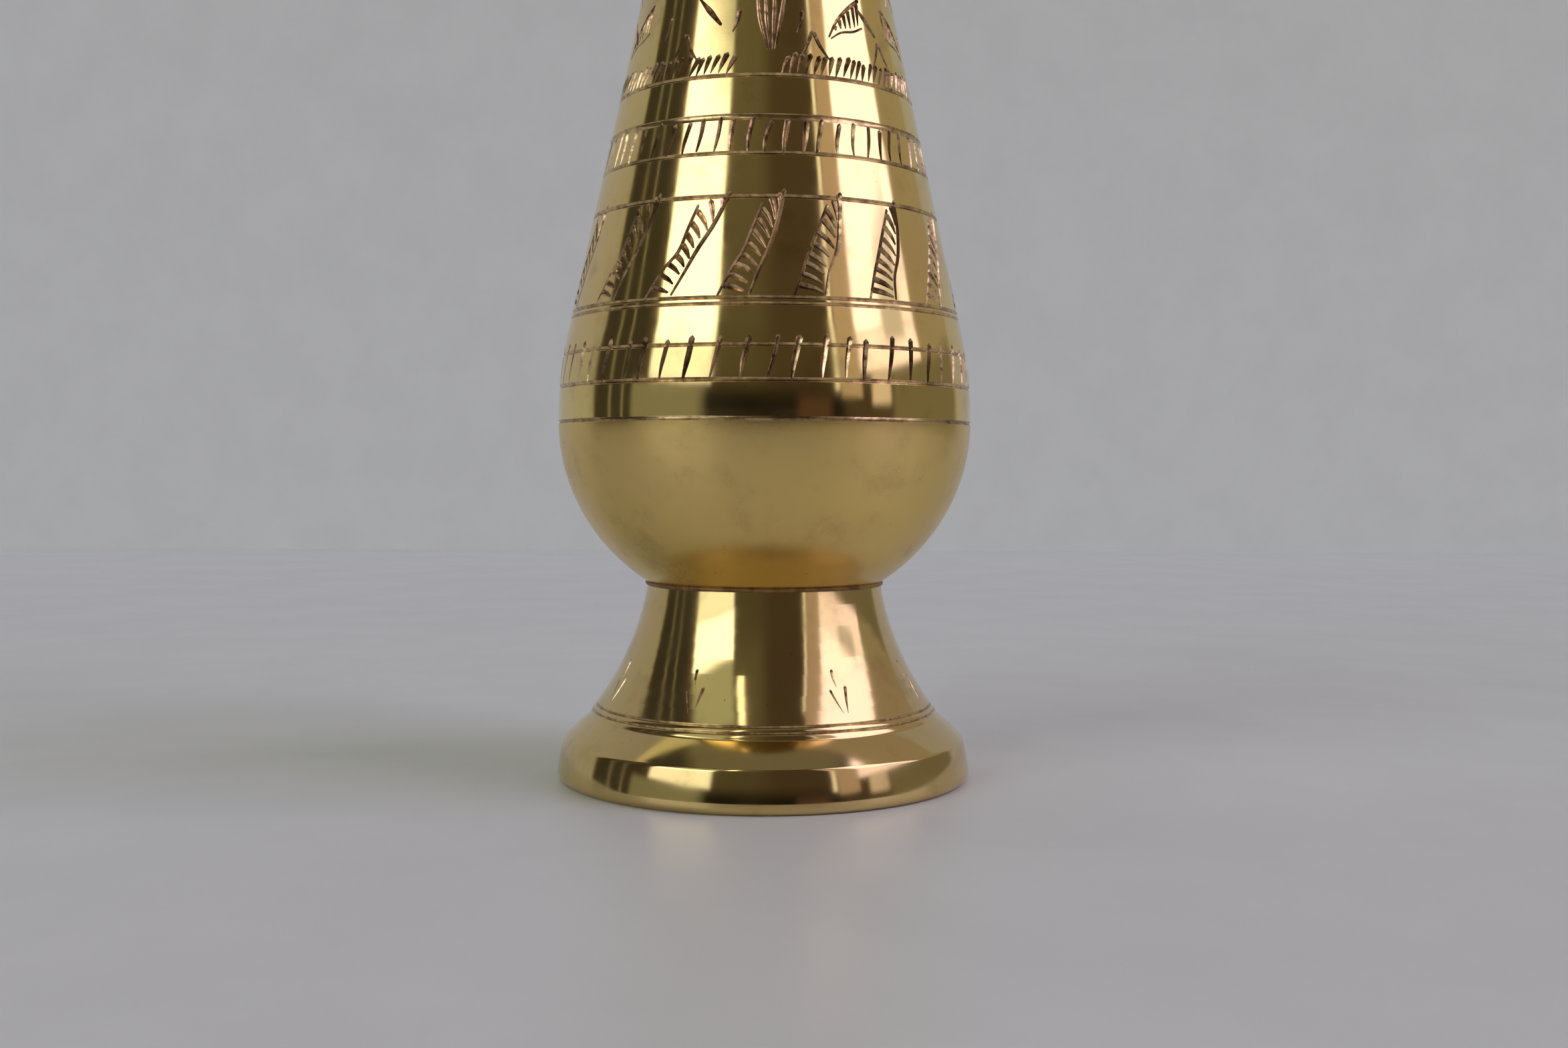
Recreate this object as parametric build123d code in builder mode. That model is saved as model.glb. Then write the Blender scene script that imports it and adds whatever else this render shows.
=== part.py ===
from build123d import *
from math import acos, cos, degrees, radians, sin, sqrt
import os

# Footed brass flower vase: a bowl on a flared foot, a tall tapering body and a trumpet mouth.
# Millimetres, +Z up. The origin is on the axis, on the surface that the foot stands on.
# Every piece is turned, so its section is drawn in (radius, height) and revolved about Z.
# The pieces are thin shells, soldered where a tongue of one sits in a rebate of the next.

# ---------------------------------------------------------------- walls, joints and grooves
wall = 1.4                # thickness of the bowl, body and mouth
foot_wall = 1.6           # the foot is a little heavier
tongue = 3.0              # how far a tongue reaches into the next shell
filler_gap = 0.5          # room above a tongue for its ring of solder
groove = 0.36             # side of the square cutter that turns a V groove
second_line_place = (27.85, 11.0)   # the second line round the foot, on its step

# ---------------------------------------------------------------- lower bowl
girdle_height = 57.3      # the widest line, where the bowl meets the body
girdle_radius = 33.3
bowl_depth = 31.3         # the bowl is half an ellipsoid
bowl_flat_radius = 3.0    # small flat at its lowest point, where the lathe's centre held it

# ---------------------------------------------------------------- upper body and neck
shoulder_start = girdle_height + 1.0
shoulder_arc = 60.0       # rounds the wide end of the body into its cone
taper = 12.56             # degrees from the axis, along the cone
cone_length = 41.0
neck_arc = 790.0          # the neck is very slightly hollow
neck_turn = 3.9           # degrees that the neck arc turns back towards the axis
body_lines = (5.53, 10.56, 16.5, 17.4, 32.35, 38.9, 44.4, 50.8)   # above the girdle
neck_lines = (82.6, 88.4)                                          # above the girdle

# ---------------------------------------------------------------- trumpet mouth
throat_arc = 92.3         # turns the neck upright
flare_arc = 26.5
flare_turn = 48.0
lip_bead = 1.5            # radius of the rolled lip
collar_bead = 1.7         # radius of the ring moulding over the neck joint
collar_rise = 1.6         # height of that moulding above the joint

# ---------------------------------------------------------------- foot
waist_radius = 18.95      # where the foot's top meets the bowl
flare_middle = (21.9, 21.4)
flare_root = (27.2, 12.0)
step_root = (28.35, 10.2)     # the short step between the flare and the flange
flange_middle = (30.19, 8.67)
flange_end = (31.85, 6.95)
crown_middle = (32.3, 6.345)  # the tight turn at the top of the rim
rim_top = (32.6, 5.65)
rim_middle = (33.145, 3.495)
rim_radius = 33.5             # the rim leans out towards its bottom
rim_bottom = 1.3
under_middle = (33.15, 0.4)   # rounding under the rim
standing_outer_radius = 32.5
standing_inner_radius = 30.0
solder_bead = 0.6         # radius of the bead of solder round the waist


def side_arc(start, tangent, radius, turn, inset):
    """One arc of the shell's side, set in from the outside and kept parallel to it."""
    turned_radius = radius - inset if turn > 0 else radius + inset
    return JernArc(start, tangent, turned_radius, turn)


def bowl_side(inset, start_radius):
    """Draws the bowl's side from a radius near its bottom up to the girdle."""
    radius = girdle_radius - inset
    sweep = degrees(acos(start_radius / radius))
    return EllipticalCenterArc(
        (0, girdle_height), radius, bowl_depth - inset, start_angle=-sweep, arc_size=sweep
    )


def body_side(inset):
    """Draws the body's side from the girdle to the top of the neck, and returns its last arc."""
    bottom_end = (girdle_radius - inset, girdle_height)
    upright = Line(bottom_end, (girdle_radius - inset, shoulder_start))
    shoulder = side_arc(upright @ 1, (0, 1), shoulder_arc, taper, inset)
    cone = Line(shoulder @ 1, shoulder @ 1 + cone_length * (shoulder % 1))
    return side_arc(cone @ 1, cone % 1, neck_arc, -neck_turn, inset)


def mouth_side(start, tangent, inset):
    """Draws the mouth's side from the neck joint to the lip, and returns its last arc."""
    throat = side_arc(start, tangent, throat_arc, neck_turn - taper, inset)
    return side_arc(throat @ 1, throat % 1, flare_arc, -flare_turn, inset)


def body_radius(height):
    """The body's outside radius at a height above the girdle."""
    cone_start = shoulder_start - girdle_height + shoulder_arc * sin(radians(taper))
    if height < shoulder_start - girdle_height:
        return girdle_radius
    if height < cone_start:
        rise = height - (shoulder_start - girdle_height)
        return girdle_radius - shoulder_arc + sqrt(shoulder_arc**2 - rise**2)
    cone_start_radius = girdle_radius - shoulder_arc * (1 - cos(radians(taper)))
    cone_rise = cone_length * cos(radians(taper))
    on_cone = min(height - cone_start, cone_rise)
    radius = cone_start_radius - on_cone * sin(radians(taper)) / cos(radians(taper))
    if on_cone < cone_rise:
        return radius
    sine = sin(radians(taper)) - (height - cone_start - cone_rise) / neck_arc
    return radius - neck_arc * (sqrt(1 - sine**2) - cos(radians(taper)))


def turn_grooves(places, side):
    """Turns a V groove round the current piece at each (radius, height)."""
    with BuildSketch(Plane.XZ) as cutters:
        with Locations(*places):
            Rectangle(side, side, rotation=45)
    revolve(cutters.sketch, axis=Axis.Z, mode=Mode.SUBTRACT)


def turn_section(*corners, mode=Mode.ADD):
    """Revolves a straight-sided section into the current piece."""
    with BuildSketch(Plane.XZ) as section:
        with BuildLine():
            Polyline(*corners, close=True)
        make_face()
    revolve(section.sketch, axis=Axis.Z, mode=mode)


# The joints' key places. A tongue is the inner half of its wall.
girdle_middle = girdle_radius - wall / 2
girdle_inner = girdle_radius - wall
girdle_groove_place = (girdle_radius, girdle_height)
tongue_top = girdle_height + tongue
rebate_top = tongue_top + filler_gap

with BuildLine():
    neck_end = body_side(0)
neck_outer = neck_end @ 1
neck_up = (neck_end % 1).normalized()
neck_in = Vector(-neck_up.Y, neck_up.X)
neck_middle = neck_outer + neck_in * (wall / 2)
neck_inner = neck_outer + neck_in * wall
tongue_drop = neck_up * tongue
rebate_drop = neck_up * (tongue + filler_gap)


# ---------------------------------------------------------------- lower bowl
# A closed cup. Its tongue stands up inside the body.
with BuildPart() as lower_bowl:
    with BuildSketch(Plane.XZ):
        with BuildLine():
            outside = bowl_side(0, bowl_flat_radius)
            inside = bowl_side(wall, bowl_flat_radius)
            Polyline(
                outside @ 1,
                (girdle_middle, girdle_height),
                (girdle_middle, tongue_top),
                (girdle_inner, tongue_top),
                inside @ 1,
            )
            Polyline(inside @ 0, (0, (inside @ 0).Y), (0, (outside @ 0).Y), outside @ 0)
        make_face()
    revolve(axis=Axis.Z)
    turn_grooves([girdle_groove_place], groove)

# ---------------------------------------------------------------- upper body
# Open at both ends. It has a rebate inside each end for the neighbour's tongue.
with BuildPart() as upper_body:
    with BuildSketch(Plane.XZ):
        with BuildLine():
            outer_end = body_side(0)
            inner_end = body_side(wall)
            Line(outer_end @ 1, inner_end @ 1)
            Line((girdle_radius, girdle_height), (girdle_inner, girdle_height))
        make_face()
    revolve(axis=Axis.Z)
    turn_section(
        (girdle_inner - wall, girdle_height),
        (girdle_middle, girdle_height),
        (girdle_middle, rebate_top),
        (girdle_inner - wall, rebate_top),
        mode=Mode.SUBTRACT,
    )
    turn_section(
        neck_middle,
        neck_middle - rebate_drop,
        neck_inner + neck_in * wall - rebate_drop,
        neck_inner + neck_in * wall,
        mode=Mode.SUBTRACT,
    )
    line_heights = body_lines + neck_lines
    turn_grooves([(body_radius(h), girdle_height + h) for h in line_heights], groove)
    turn_grooves([girdle_groove_place], groove)

# ---------------------------------------------------------------- solder ring at the girdle
with BuildPart() as girdle_solder_ring:
    turn_section(
        (girdle_inner, tongue_top),
        (girdle_middle, tongue_top),
        (girdle_middle, rebate_top),
        (girdle_inner, rebate_top),
    )

# ---------------------------------------------------------------- trumpet mouth
# Its tongue hangs down inside the neck, and its ring moulding covers the joint.
with BuildPart() as trumpet_mouth:
    with BuildSketch(Plane.XZ):
        with BuildLine():
            outer_flare = mouth_side(neck_outer, neck_up, 0)
            inner_flare = mouth_side(neck_inner, neck_up, wall)
            Line(neck_outer, neck_inner)
            Line(outer_flare @ 1, inner_flare @ 1)
        make_face()
        with Locations((outer_flare @ 1 + inner_flare @ 1) / 2):
            Circle(lip_bead)
    revolve(axis=Axis.Z)
    with BuildSketch(Plane.XZ):
        with Locations(neck_middle + neck_up * (collar_rise + collar_bead / 2)):
            Circle(collar_bead)
    revolve(axis=Axis.Z)
    turn_section(neck_middle, neck_inner, neck_inner - tongue_drop, neck_middle - tongue_drop)

# ---------------------------------------------------------------- solder ring in the neck
with BuildPart() as neck_solder_ring:
    turn_section(
        neck_inner - tongue_drop,
        neck_middle - tongue_drop,
        neck_middle - rebate_drop,
        neck_inner - rebate_drop,
    )

# ---------------------------------------------------------------- foot
# A hollow flared pedestal, open underneath. Its blank runs up into the bowl, halfway to the
# girdle, and its top edge is then cut to the bowl's curve.
with BuildPart() as foot:
    with BuildSketch(Plane.XZ):
        with BuildLine():
            flare = ThreePointArc(
                (waist_radius, girdle_height - bowl_depth * sqrt(1 - (waist_radius / girdle_radius) ** 2)),
                flare_middle,
                flare_root,
            )
            Line(flare_root, step_root)
            ThreePointArc(step_root, flange_middle, flange_end)
            ThreePointArc(flange_end, crown_middle, rim_top)
            ThreePointArc(rim_top, rim_middle, (rim_radius, rim_bottom))
            ThreePointArc((rim_radius, rim_bottom), under_middle, (standing_outer_radius, 0))
            Polyline(
                (standing_outer_radius, 0),
                (standing_inner_radius, 0),
                (standing_inner_radius, rim_top[1]),
                (step_root[0] - foot_wall, step_root[1] - foot_wall),
                (flare_root[0] - foot_wall, flare_root[1] - foot_wall / 2),
            )
            inner_flare_side = ThreePointArc(
                (flare_root[0] - foot_wall, flare_root[1] - foot_wall / 2),
                (flare_middle[0] - foot_wall, flare_middle[1] - foot_wall / 3),
                (waist_radius - foot_wall, girdle_height - bowl_depth / 2),
            )
            Line(inner_flare_side @ 1, (waist_radius, girdle_height - bowl_depth / 2))
            Line((waist_radius, girdle_height - bowl_depth / 2), flare @ 0)
        make_face()
    revolve(axis=Axis.Z)
    with BuildSketch(Plane.XZ):
        with BuildLine():
            cup = bowl_side(0, bowl_flat_radius)
            Polyline(cup @ 1, (0, girdle_height), (0, (cup @ 0).Y), cup @ 0)
        make_face()
    revolve(axis=Axis.Z, mode=Mode.SUBTRACT)
    turn_grooves([flare_root, second_line_place], groove)

# ---------------------------------------------------------------- solder bead round the waist
# What is left of a round bead after the bowl and the foot have taken their share of it.
with BuildPart() as foot_solder_bead:
    with BuildSketch(Plane.XZ):
        with Locations(flare @ 0):
            Circle(solder_bead)
    revolve(axis=Axis.Z)
    add(lower_bowl.part, mode=Mode.SUBTRACT)
    add(foot.part, mode=Mode.SUBTRACT)

# ---------------------------------------------------------------- labels and files
pieces = {
    "foot": foot,
    "foot_solder_bead": foot_solder_bead,
    "lower_bowl": lower_bowl,
    "girdle_solder_ring": girdle_solder_ring,
    "upper_body": upper_body,
    "neck_solder_ring": neck_solder_ring,
    "trumpet_mouth": trumpet_mouth,
}
os.makedirs("parts", exist_ok=True)
for name, piece in pieces.items():
    piece.part.label = name
    export_step(piece.part, f"parts/{name}.step")
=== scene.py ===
import math
import random

import bmesh
import bpy
import numpy as np
from mathutils import Matrix, Vector


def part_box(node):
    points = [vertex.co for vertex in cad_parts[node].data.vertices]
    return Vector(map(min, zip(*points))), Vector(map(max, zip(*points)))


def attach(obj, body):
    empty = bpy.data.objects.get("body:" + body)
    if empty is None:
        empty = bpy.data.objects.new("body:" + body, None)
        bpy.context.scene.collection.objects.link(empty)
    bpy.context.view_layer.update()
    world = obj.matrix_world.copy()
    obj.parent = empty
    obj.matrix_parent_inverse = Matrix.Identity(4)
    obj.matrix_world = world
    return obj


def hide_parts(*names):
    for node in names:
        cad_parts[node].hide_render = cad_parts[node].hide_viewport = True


# Footed brass vase: turned shells with their lines cut in, hand-engraved bands, a satin bowl.
# Shapes are worked out in millimetres from the CAD's driving dimensions, and meshes are in metres.

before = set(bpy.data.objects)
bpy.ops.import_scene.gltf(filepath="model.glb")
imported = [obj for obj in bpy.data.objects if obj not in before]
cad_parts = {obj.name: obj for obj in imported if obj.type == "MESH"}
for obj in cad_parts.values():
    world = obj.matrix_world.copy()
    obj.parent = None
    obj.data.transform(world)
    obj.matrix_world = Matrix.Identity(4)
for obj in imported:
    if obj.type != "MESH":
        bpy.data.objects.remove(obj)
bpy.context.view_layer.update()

MM = 0.001
SEGMENTS = 216
INSET_FACE, INSIDE, TURNED, ENGRAVED = 0, 1, 2, 3      # material places on every shell

# ---------------------------------------------------------------- driving dimensions
GIRDLE_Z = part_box("upper_body")[0].z / MM
GIRDLE_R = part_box("upper_body")[1].x / MM
BOWL_DEPTH = GIRDLE_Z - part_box("lower_bowl")[0].z / MM
WAIST_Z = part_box("foot")[1].z / MM
RIM_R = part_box("foot")[1].x / MM
WALL = 1.4
FOOT_WALL = 1.6
TONGUE = 3.0
FILLER_GAP = 0.5
WAIST_R = 18.95
SHOULDER_UPRIGHT = 1.0
SHOULDER_ARC = 60.0
TAPER = 12.56
CONE_LENGTH = 41.0
NECK_ARC = 790.0
NECK_TURN = 3.9
THROAT_ARC = 92.3
FLARE_ARC = 26.5
FLARE_TURN = 48.0
LIP_BEAD = 1.5
COLLAR_BEAD = 1.7
COLLAR_RISE = 1.6
FLARE_MIDDLE = (21.9, 21.4)
FLARE_ROOT = (27.2, 12.0)
SECOND_LINE = (27.8, 11.15)
STEP_MIDDLE = (28.12, 10.75)
STEP_ROOT = (28.35, 10.2)
FLANGE_MIDDLE = (30.32, 8.52)
FLANGE_END = (32.2, 6.75)
CROWN_MIDDLE = (32.393, 6.524)
RIM_TOP = (32.51, 6.25)
RIM_MIDDLE = (33.108, 3.796)
RIM_BOTTOM = 1.3
UNDER_MIDDLE = (33.15, 0.4)
STANDING_OUTER_R = 32.5
STANDING_INNER_R = 30.0

# Turned lines: height above the girdle, width, depth.
COVE_RISE = 44.4                   # the one wide, shallow line
BODY_LINES = (
    (5.53, 0.60, 0.25),
    (10.56, 0.54, 0.22),
    (16.50, 0.48, 0.19),
    (17.40, 0.54, 0.22),
    (32.35, 0.62, 0.26),
    (38.90, 0.56, 0.23),
    (COVE_RISE, 0.95, 0.13),
    (50.80, 0.60, 0.22),
    (82.60, 0.50, 0.22),
    (88.40, 0.50, 0.22),
)


# ---------------------------------------------------------------- sections
def trace(start, tilt, runs, inset=0.0, spacing=1.6):
    """Points (radius, height, tilt) along lines and arcs. The tilt is the outward normal's, in radians.
    A run is ("line", length) or ("arc", radius, degrees towards the axis)."""
    r, z = start
    points = [(r, z, tilt)]
    for run in runs:
        if run[0] == "line":
            steps = max(1, round(run[1] / spacing))
            for i in range(1, steps + 1):
                s = run[1] * i / steps
                points.append((r - s * math.sin(tilt), z + s * math.cos(tilt), tilt))
        else:
            turn = math.radians(run[2])
            sign = 1 if turn > 0 else -1
            radius = run[1] - sign * inset
            steps = max(2, round(abs(turn) * radius / spacing))
            centre = (r - sign * radius * math.cos(tilt), z - sign * radius * math.sin(tilt))
            for i in range(1, steps + 1):
                a = tilt + turn * i / steps
                out = sign * radius
                points.append((centre[0] + out * math.cos(a), centre[1] + out * math.sin(a), a))
        r, z, tilt = points[-1]
    return points


def arc_through(a, b, c, steps):
    """Points from a through b to c on one arc."""
    ax, ay = a
    bx, by = b
    cx, cy = c
    d = 2 * (ax * (by - cy) + bx * (cy - ay) + cx * (ay - by))
    ux = ((ax**2 + ay**2) * (by - cy) + (bx**2 + by**2) * (cy - ay) + (cx**2 + cy**2) * (ay - by)) / d
    uy = ((ax**2 + ay**2) * (cx - bx) + (bx**2 + by**2) * (ax - cx) + (cx**2 + cy**2) * (bx - ax)) / d
    radius = math.hypot(ax - ux, ay - uy)
    start = math.atan2(ay - uy, ax - ux)
    middle = math.atan2(by - uy, bx - ux)
    end = math.atan2(cy - uy, cx - ux)

    def after(angle, base, way):
        return (angle - base) * way % (2 * math.pi)

    way = 1 if after(middle, start, 1) < after(end, start, 1) else -1
    sweep = after(end, start, way) * way
    return [
        (ux + radius * math.cos(start + sweep * i / steps), uy + radius * math.sin(start + sweep * i / steps))
        for i in range(steps + 1)
    ]


def side_normals(points):
    """Tilt of the outward normal at each point of a side that is listed upwards."""
    tilts = []
    for i in range(len(points)):
        a = points[max(0, i - 1)]
        b = points[min(len(points) - 1, i + 1)]
        tilts.append(math.atan2(a[0] - b[0], b[1] - a[1]))
    return tilts


BODY_RUNS = [
    ("line", SHOULDER_UPRIGHT),
    ("arc", SHOULDER_ARC, TAPER),
    ("line", CONE_LENGTH),
    ("arc", NECK_ARC, -NECK_TURN),
]
MOUTH_RUNS = [("arc", THROAT_ARC, NECK_TURN - TAPER), ("arc", FLARE_ARC, -FLARE_TURN)]

body_fine = np.array(trace((GIRDLE_R, GIRDLE_Z), 0.0, BODY_RUNS, spacing=0.1))
foot_flare = arc_through((WAIST_R, WAIST_Z), FLARE_MIDDLE, FLARE_ROOT, 60)[::-1]
foot_fine = np.array([(r, z, t) for (r, z), t in zip(foot_flare, side_normals(foot_flare))])


def side_at(fine, height):
    """(radius, tilt) of a smooth side at a height."""
    return np.interp(height, fine[:, 1], fine[:, 0]), np.interp(height, fine[:, 1], fine[:, 2])


# A V line with eased edges: place across the half width, share of the depth.
V_SHAPE = (
    (-1.2, 0.0), (-0.95, 0.07), (-0.5, 0.52), (-0.1, 0.97),
    (0.1, 0.97), (0.5, 0.52), (0.95, 0.07), (1.2, 0.0),
)
COVE_SHAPE = (
    (-1.1, 0.0), (-0.9, 0.3), (-0.45, 0.78), (0.0, 1.0),
    (0.45, 0.9), (0.82, 0.55), (0.93, 0.12), (1.08, 0.0),
)


def lined_side(fine, heights, lines, shape_of):
    """Rows (radius, height, tilt, is groove above) of a side with turned lines in it.
    Lines are (height, width, depth). The rows go upwards."""
    rows = []
    for z in heights:
        if all(abs(z - c) > 0.75 * w for c, w, _ in lines):
            rows.append((z, 0.0, 0.0, False))
    for centre, width, depth in lines:
        shape = shape_of(centre)
        for k, (across, share) in enumerate(shape):
            before = shape[max(0, k - 1)]
            after = shape[min(len(shape) - 1, k + 1)]
            slope = (after[1] - before[1]) * depth / ((after[0] - before[0]) * width / 2)
            slope = 0.0 if k in (0, len(shape) - 1) else slope
            inside = k < len(shape) - 1
            rows.append((centre + across * width / 2, depth * share, math.atan(slope), inside))
    rows.sort()
    made = []
    for z, inset, lean, inside in rows:
        r, tilt = side_at(fine, z)
        made.append((r - inset * math.cos(tilt), z - inset * math.sin(tilt), tilt + lean, inside))
    return made


# ---------------------------------------------------------------- meshes
def revolve(name, loop, kinds, materials, closed=True):
    """Revolves a loop of (radius, height) in millimetres.
    kinds[i] is the material place of the band from i to i + 1."""
    verts, rings = [], []
    for r, z in loop:
        if r < 1e-6:
            rings.append([len(verts)] * SEGMENTS)
            verts.append((0.0, 0.0, z * MM))
            continue
        rings.append(list(range(len(verts), len(verts) + SEGMENTS)))
        for k in range(SEGMENTS):
            a = 2 * math.pi * (k + 0.5) / SEGMENTS
            verts.append((r * MM * math.sin(a), -r * MM * math.cos(a), z * MM))
    faces, places = [], []
    count = len(loop)
    for i in range(count if closed else count - 1):
        low, high = rings[i], rings[(i + 1) % count]
        if low[0] == low[1] and high[0] == high[1]:
            continue
        for k in range(SEGMENTS):
            n = (k + 1) % SEGMENTS
            face = [low[k], low[n], high[n], high[k]]
            face = [v for j, v in enumerate(face) if v not in face[:j]]
            faces.append(face)
            places.append(kinds[i])
    mesh = bpy.data.meshes.new(name)
    mesh.from_pydata(verts, [], faces)
    mesh.polygons.foreach_set("material_index", places)
    work = bmesh.new()
    work.from_mesh(mesh)
    bmesh.ops.recalc_face_normals(work, faces=work.faces)
    work.to_mesh(mesh)
    work.free()
    obj = bpy.data.objects.new(name, mesh)
    bpy.context.scene.collection.objects.link(obj)
    for material in materials:
        mesh.materials.append(material)
    return obj


def surface_point(fine, turn, height):
    """Position and outward normal on a side, in millimetres."""
    r, tilt = side_at(fine, height)
    a = math.radians(turn)
    outward = np.array([math.sin(a), -math.cos(a), 0.0])
    up = np.array([0.0, 0.0, 1.0])
    place = outward * r + up * height
    normal = outward * math.cos(tilt) + up * math.sin(tilt)
    return place, normal


GRAVER = 1.25          # half width over depth of the graver's cut
OVERHEAD = 0.10        # how far a cutter stands out of the metal


def stroke_cutter(fine, stroke):
    """Corner points of a V cutter along a stroke, which is a list of (turn, height, width)."""
    frames = [surface_point(fine, turn, height) for turn, height, _ in stroke]
    places = [f[0] for f in frames]
    sections = []
    for i, (place, normal) in enumerate(frames):
        along = places[min(i + 1, len(places) - 1)] - places[max(i - 1, 0)]
        along /= np.linalg.norm(along)
        across = np.cross(along, normal)
        across /= np.linalg.norm(across)
        depth = stroke[i][2] / (2 * GRAVER)
        half = GRAVER * (depth + OVERHEAD)
        lifted = place + OVERHEAD * normal
        sections.append((place - depth * normal, lifted + half * across, lifted - half * across))
    return sections


def close_pairs(cutters):
    """For each cutter, the earlier ones that it might touch."""
    middles = [np.array([np.mean(s, axis=0) for s in c]) for c in cutters]
    reach = [max(np.linalg.norm(s[1] - s[2]) for s in c) / 2 for c in cutters]
    lows = np.array([m.min(0) - r for m, r in zip(middles, reach)])
    highs = np.array([m.max(0) + r for m, r in zip(middles, reach)])
    near = []
    for i in range(len(cutters)):
        boxes = np.all((lows[:i] < highs[i]) & (highs[:i] > lows[i]), axis=1).nonzero()[0]
        found = []
        for j in boxes:
            gap = np.linalg.norm(middles[i][:, None] - middles[j][None], axis=2).min()
            step = max(np.linalg.norm(np.diff(middles[k], axis=0), axis=1).max() for k in (i, j))
            if gap < reach[i] + reach[j] + step / 2:
                found.append(int(j))
        near.append(found)
    return near


def engrave(obj, fine, strokes):
    """Cuts the strokes out of a shell. Strokes that touch go in separate cuts."""
    cutters = [stroke_cutter(fine, s) for s in strokes]
    near = close_pairs(cutters)
    layer_of = []
    for i in range(len(cutters)):
        taken = {layer_of[j] for j in near[i]}
        layer = 0
        while layer in taken:
            layer += 1
        layer_of.append(layer)
    for layer in range(max(layer_of) + 1):
        verts, faces = [], []
        for cutter, own in zip(cutters, layer_of):
            if own != layer:
                continue
            base = len(verts)
            for section in cutter:
                verts.extend(tuple(p * MM) for p in section)
            last = base + 3 * (len(cutter) - 1)
            faces.append((base, base + 1, base + 2))
            faces.append((last + 2, last + 1, last))
            for i in range(len(cutter) - 1):
                a = base + 3 * i
                for k in range(3):
                    n = (k + 1) % 3
                    faces.append((a + k, a + 3 + k, a + 3 + n, a + n))
        mesh = bpy.data.meshes.new("cutter")
        mesh.from_pydata(verts, [], faces)
        for material in obj.data.materials:
            mesh.materials.append(material)
        mesh.polygons.foreach_set("material_index", [ENGRAVED] * len(faces))
        work = bmesh.new()
        work.from_mesh(mesh)
        bmesh.ops.triangulate(work, faces=work.faces)
        bmesh.ops.recalc_face_normals(work, faces=work.faces)
        work.to_mesh(mesh)
        work.free()
        tool = bpy.data.objects.new("cutter", mesh)
        bpy.context.scene.collection.objects.link(tool)
        cut = obj.modifiers.new("engraving", "BOOLEAN")
        cut.operation = "DIFFERENCE"
        cut.solver = "MANIFOLD"
        cut.object = tool
        bpy.context.view_layer.update()
        shape = bpy.data.meshes.new_from_object(obj.evaluated_get(bpy.context.evaluated_depsgraph_get()))
        obj.modifiers.clear()
        old = obj.data
        obj.data = shape
        bpy.data.meshes.remove(old)
        bpy.data.objects.remove(tool)
        bpy.data.meshes.remove(mesh)
    print(obj.name, "strokes", len(strokes), "cuts", max(layer_of) + 1, "faces", len(obj.data.polygons))


SHARP_ANGLE = 32.0     # degrees between faces that stay a crisp edge


def smooth_side(obj, rows):
    """Smooth shading with the outer side's exact normals, which the engraving would otherwise disturb."""
    mesh = obj.data
    mesh.polygons.foreach_set("use_smooth", [True] * len(mesh.polygons))
    mesh.set_sharp_from_angle(angle=math.radians(SHARP_ANGLE))
    count = len(mesh.loops)
    normals = np.zeros(count * 3, np.float32)
    mesh.corner_normals.foreach_get("vector", normals)
    normals = normals.reshape(-1, 3)
    co = np.zeros(len(mesh.vertices) * 3, np.float32)
    mesh.vertices.foreach_get("co", co)
    co = co.reshape(-1, 3)
    loop_vertex = np.zeros(count, np.int32)
    mesh.loops.foreach_get("vertex_index", loop_vertex)
    totals = np.zeros(len(mesh.polygons), np.int32)
    mesh.polygons.foreach_get("loop_total", totals)
    kinds = np.zeros(len(mesh.polygons), np.int32)
    mesh.polygons.foreach_get("material_index", kinds)
    centres = np.zeros(len(mesh.polygons) * 3, np.float32)
    mesh.polygons.foreach_get("center", centres)
    centres = centres.reshape(-1, 3)
    face_of_loop = np.repeat(np.arange(len(totals)), totals)
    row_z = np.array([row[1] for row in rows]) * MM
    row_tilt = np.array([row[2] for row in rows])
    face_z = centres[:, 2][face_of_loop]
    own = (kinds[face_of_loop] != INSIDE) & (kinds[face_of_loop] != ENGRAVED)
    own &= (face_z > row_z[0]) & (face_z < row_z[-1])
    band = np.clip(np.searchsorted(row_z, face_z) - 1, 0, len(row_z) - 2)
    place = co[loop_vertex]
    share = np.clip((place[:, 2] - row_z[band]) / (row_z[band + 1] - row_z[band]), 0, 1)
    tilt = row_tilt[band] * (1 - share) + row_tilt[band + 1] * share
    radial = place[:, :2] / np.maximum(np.linalg.norm(place[:, :2], axis=1), 1e-9)[:, None]
    exact = np.column_stack([radial * np.cos(tilt)[:, None], np.sin(tilt)])
    normals[own] = exact[own]
    mesh.normals_split_custom_set([tuple(n) for n in normals])


# ---------------------------------------------------------------- node helpers
def add_node(tree, kind, inputs=None, **settings):
    """Adds a node, sets its properties, and sets or links its inputs."""
    made = tree.nodes.new(kind)
    for key, value in settings.items():
        setattr(made, key, value)
    for socket, value in (inputs or {}).items():
        if isinstance(value, bpy.types.NodeSocket):
            tree.links.new(value, made.inputs[socket])
        else:
            made.inputs[socket].default_value = value
    return made


def maths(tree, operation, *values):
    """One math node's result."""
    return add_node(tree, "ShaderNodeMath", dict(enumerate(values)), operation=operation).outputs[0]


def ramp(tree, value, low, high, out_low=0.0, out_high=1.0):
    """A smooth step of a value between two limits."""
    inputs = {"Value": value, "From Min": low, "From Max": high, "To Min": out_low, "To Max": out_high}
    made = add_node(tree, "ShaderNodeMapRange", inputs, interpolation_type="SMOOTHSTEP")
    return made.outputs["Result"]


def mix_colour(tree, share, first, second):
    """Two colours mixed."""
    made = add_node(tree, "ShaderNodeMix", {0: share, 6: first, 7: second}, data_type="RGBA")
    return made.outputs[2]


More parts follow.
